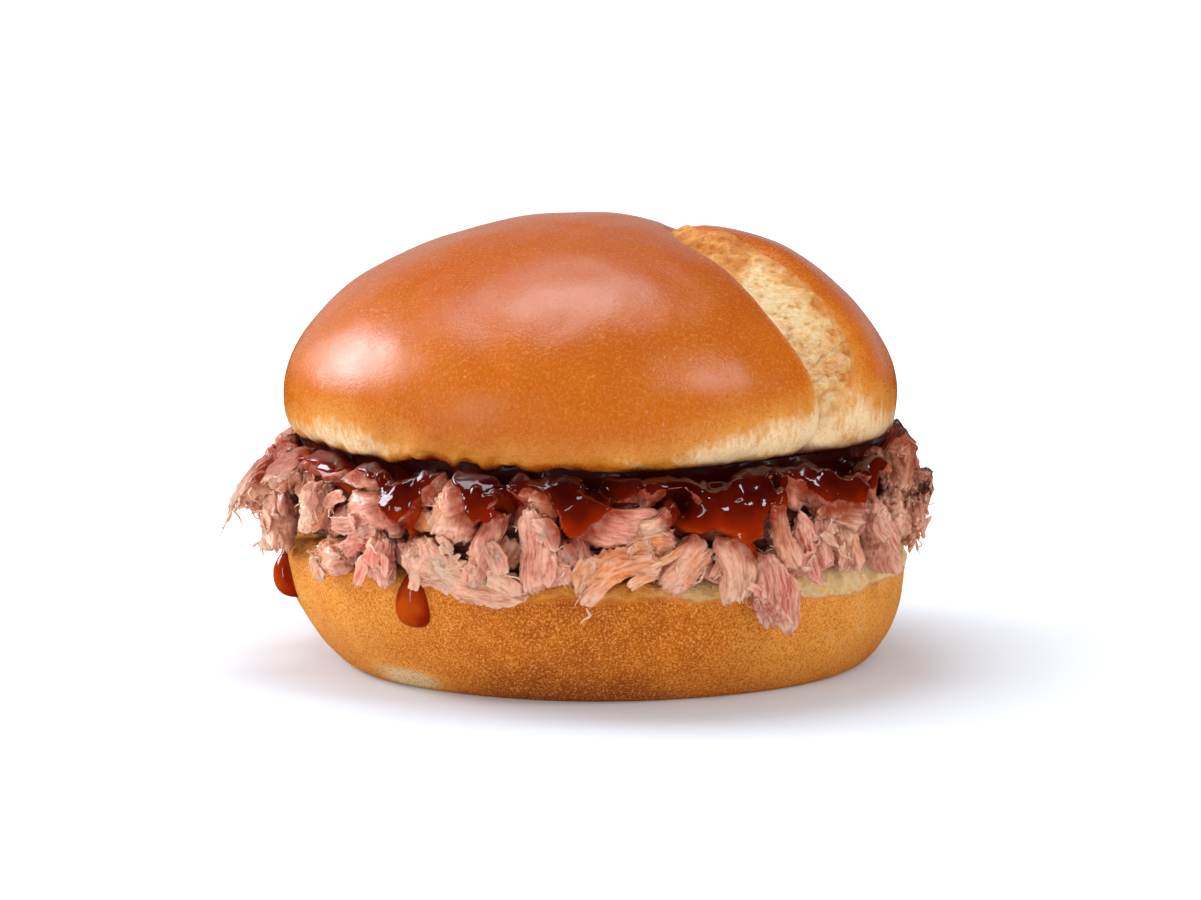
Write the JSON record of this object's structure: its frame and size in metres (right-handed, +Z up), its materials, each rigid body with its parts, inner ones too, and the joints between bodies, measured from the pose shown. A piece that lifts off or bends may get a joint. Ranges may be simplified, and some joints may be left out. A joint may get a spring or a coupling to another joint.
{
  "type": "pulled pork sandwich",
  "caption": "Folded brioche-style roll with a flat heel and a domed two-lobed crown, filled with a heap of shredded pork under dark barbecue sauce that hangs in tongues and drips down the heel.",
  "frame": {"origin": "centre of the heel's flat underside", "axes": "+Z up, -Y toward the front, +X toward the side where the crown's second lobe comes out from under the fold"},
  "size_m": [0.1203, 0.1186, 0.078],
  "materials": {
    "crown_crust": "egg-washed baked crust, satin",
    "heel_crust": "baked crust, matt and finely pitted",
    "pork": "moist cooked meat, fibrous",
    "sauce": "wet and glossy"
  },
  "bodies": {
    "root": {"bottom_bun": "heel_crust", "pulled_pork": "pork", "barbecue_sauce": "sauce", "sauce_drop_front": "sauce", "sauce_drop_left": "sauce", "sauce_drop_back": "sauce", "sauce_drop_back_left": "sauce", "top_bun": "crown_crust"}
  },
  "joints": []
}
